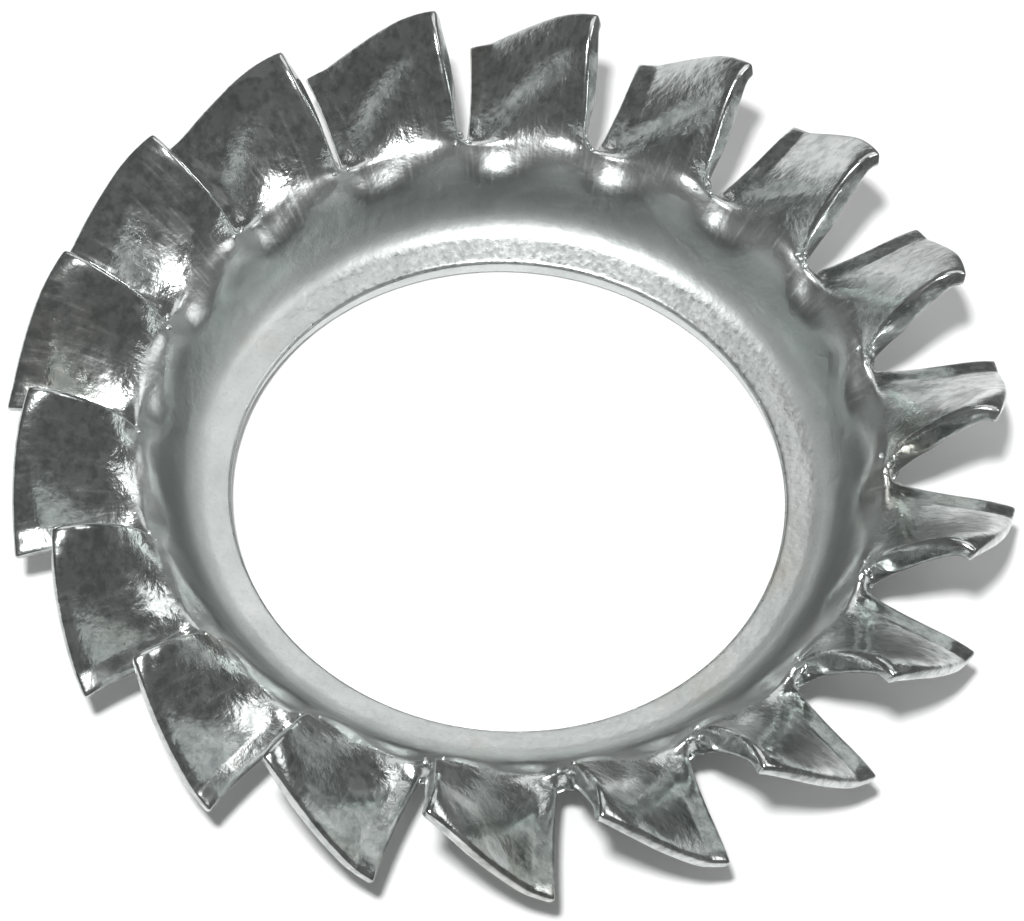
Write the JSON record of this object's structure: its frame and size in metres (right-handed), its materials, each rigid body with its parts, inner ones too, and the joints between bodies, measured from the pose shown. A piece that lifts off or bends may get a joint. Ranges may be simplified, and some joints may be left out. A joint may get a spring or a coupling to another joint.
{
  "type": "toothed lock washer",
  "caption": "Countersunk spring-steel lock washer: a dished ring with a plain bore and a crown of hollowed, twisted blade teeth round its outer edge.",
  "frame": {"origin": "on the bore's axis, in the plane of the bore's lower edge, on which the washer stands", "axes": "+Z along the bore's axis, out of the open side of the dish; +X along the middle of one tooth"},
  "size_m": [0.0152, 0.0152, 0.0031],
  "materials": {
    "zinc_plated_spring_steel": "bright zinc plating over pressed spring steel, finely speckled, with light handling scratches"
  },
  "bodies": {
    "root": {"toothed_lock_washer": "zinc_plated_spring_steel"}
  },
  "joints": []
}
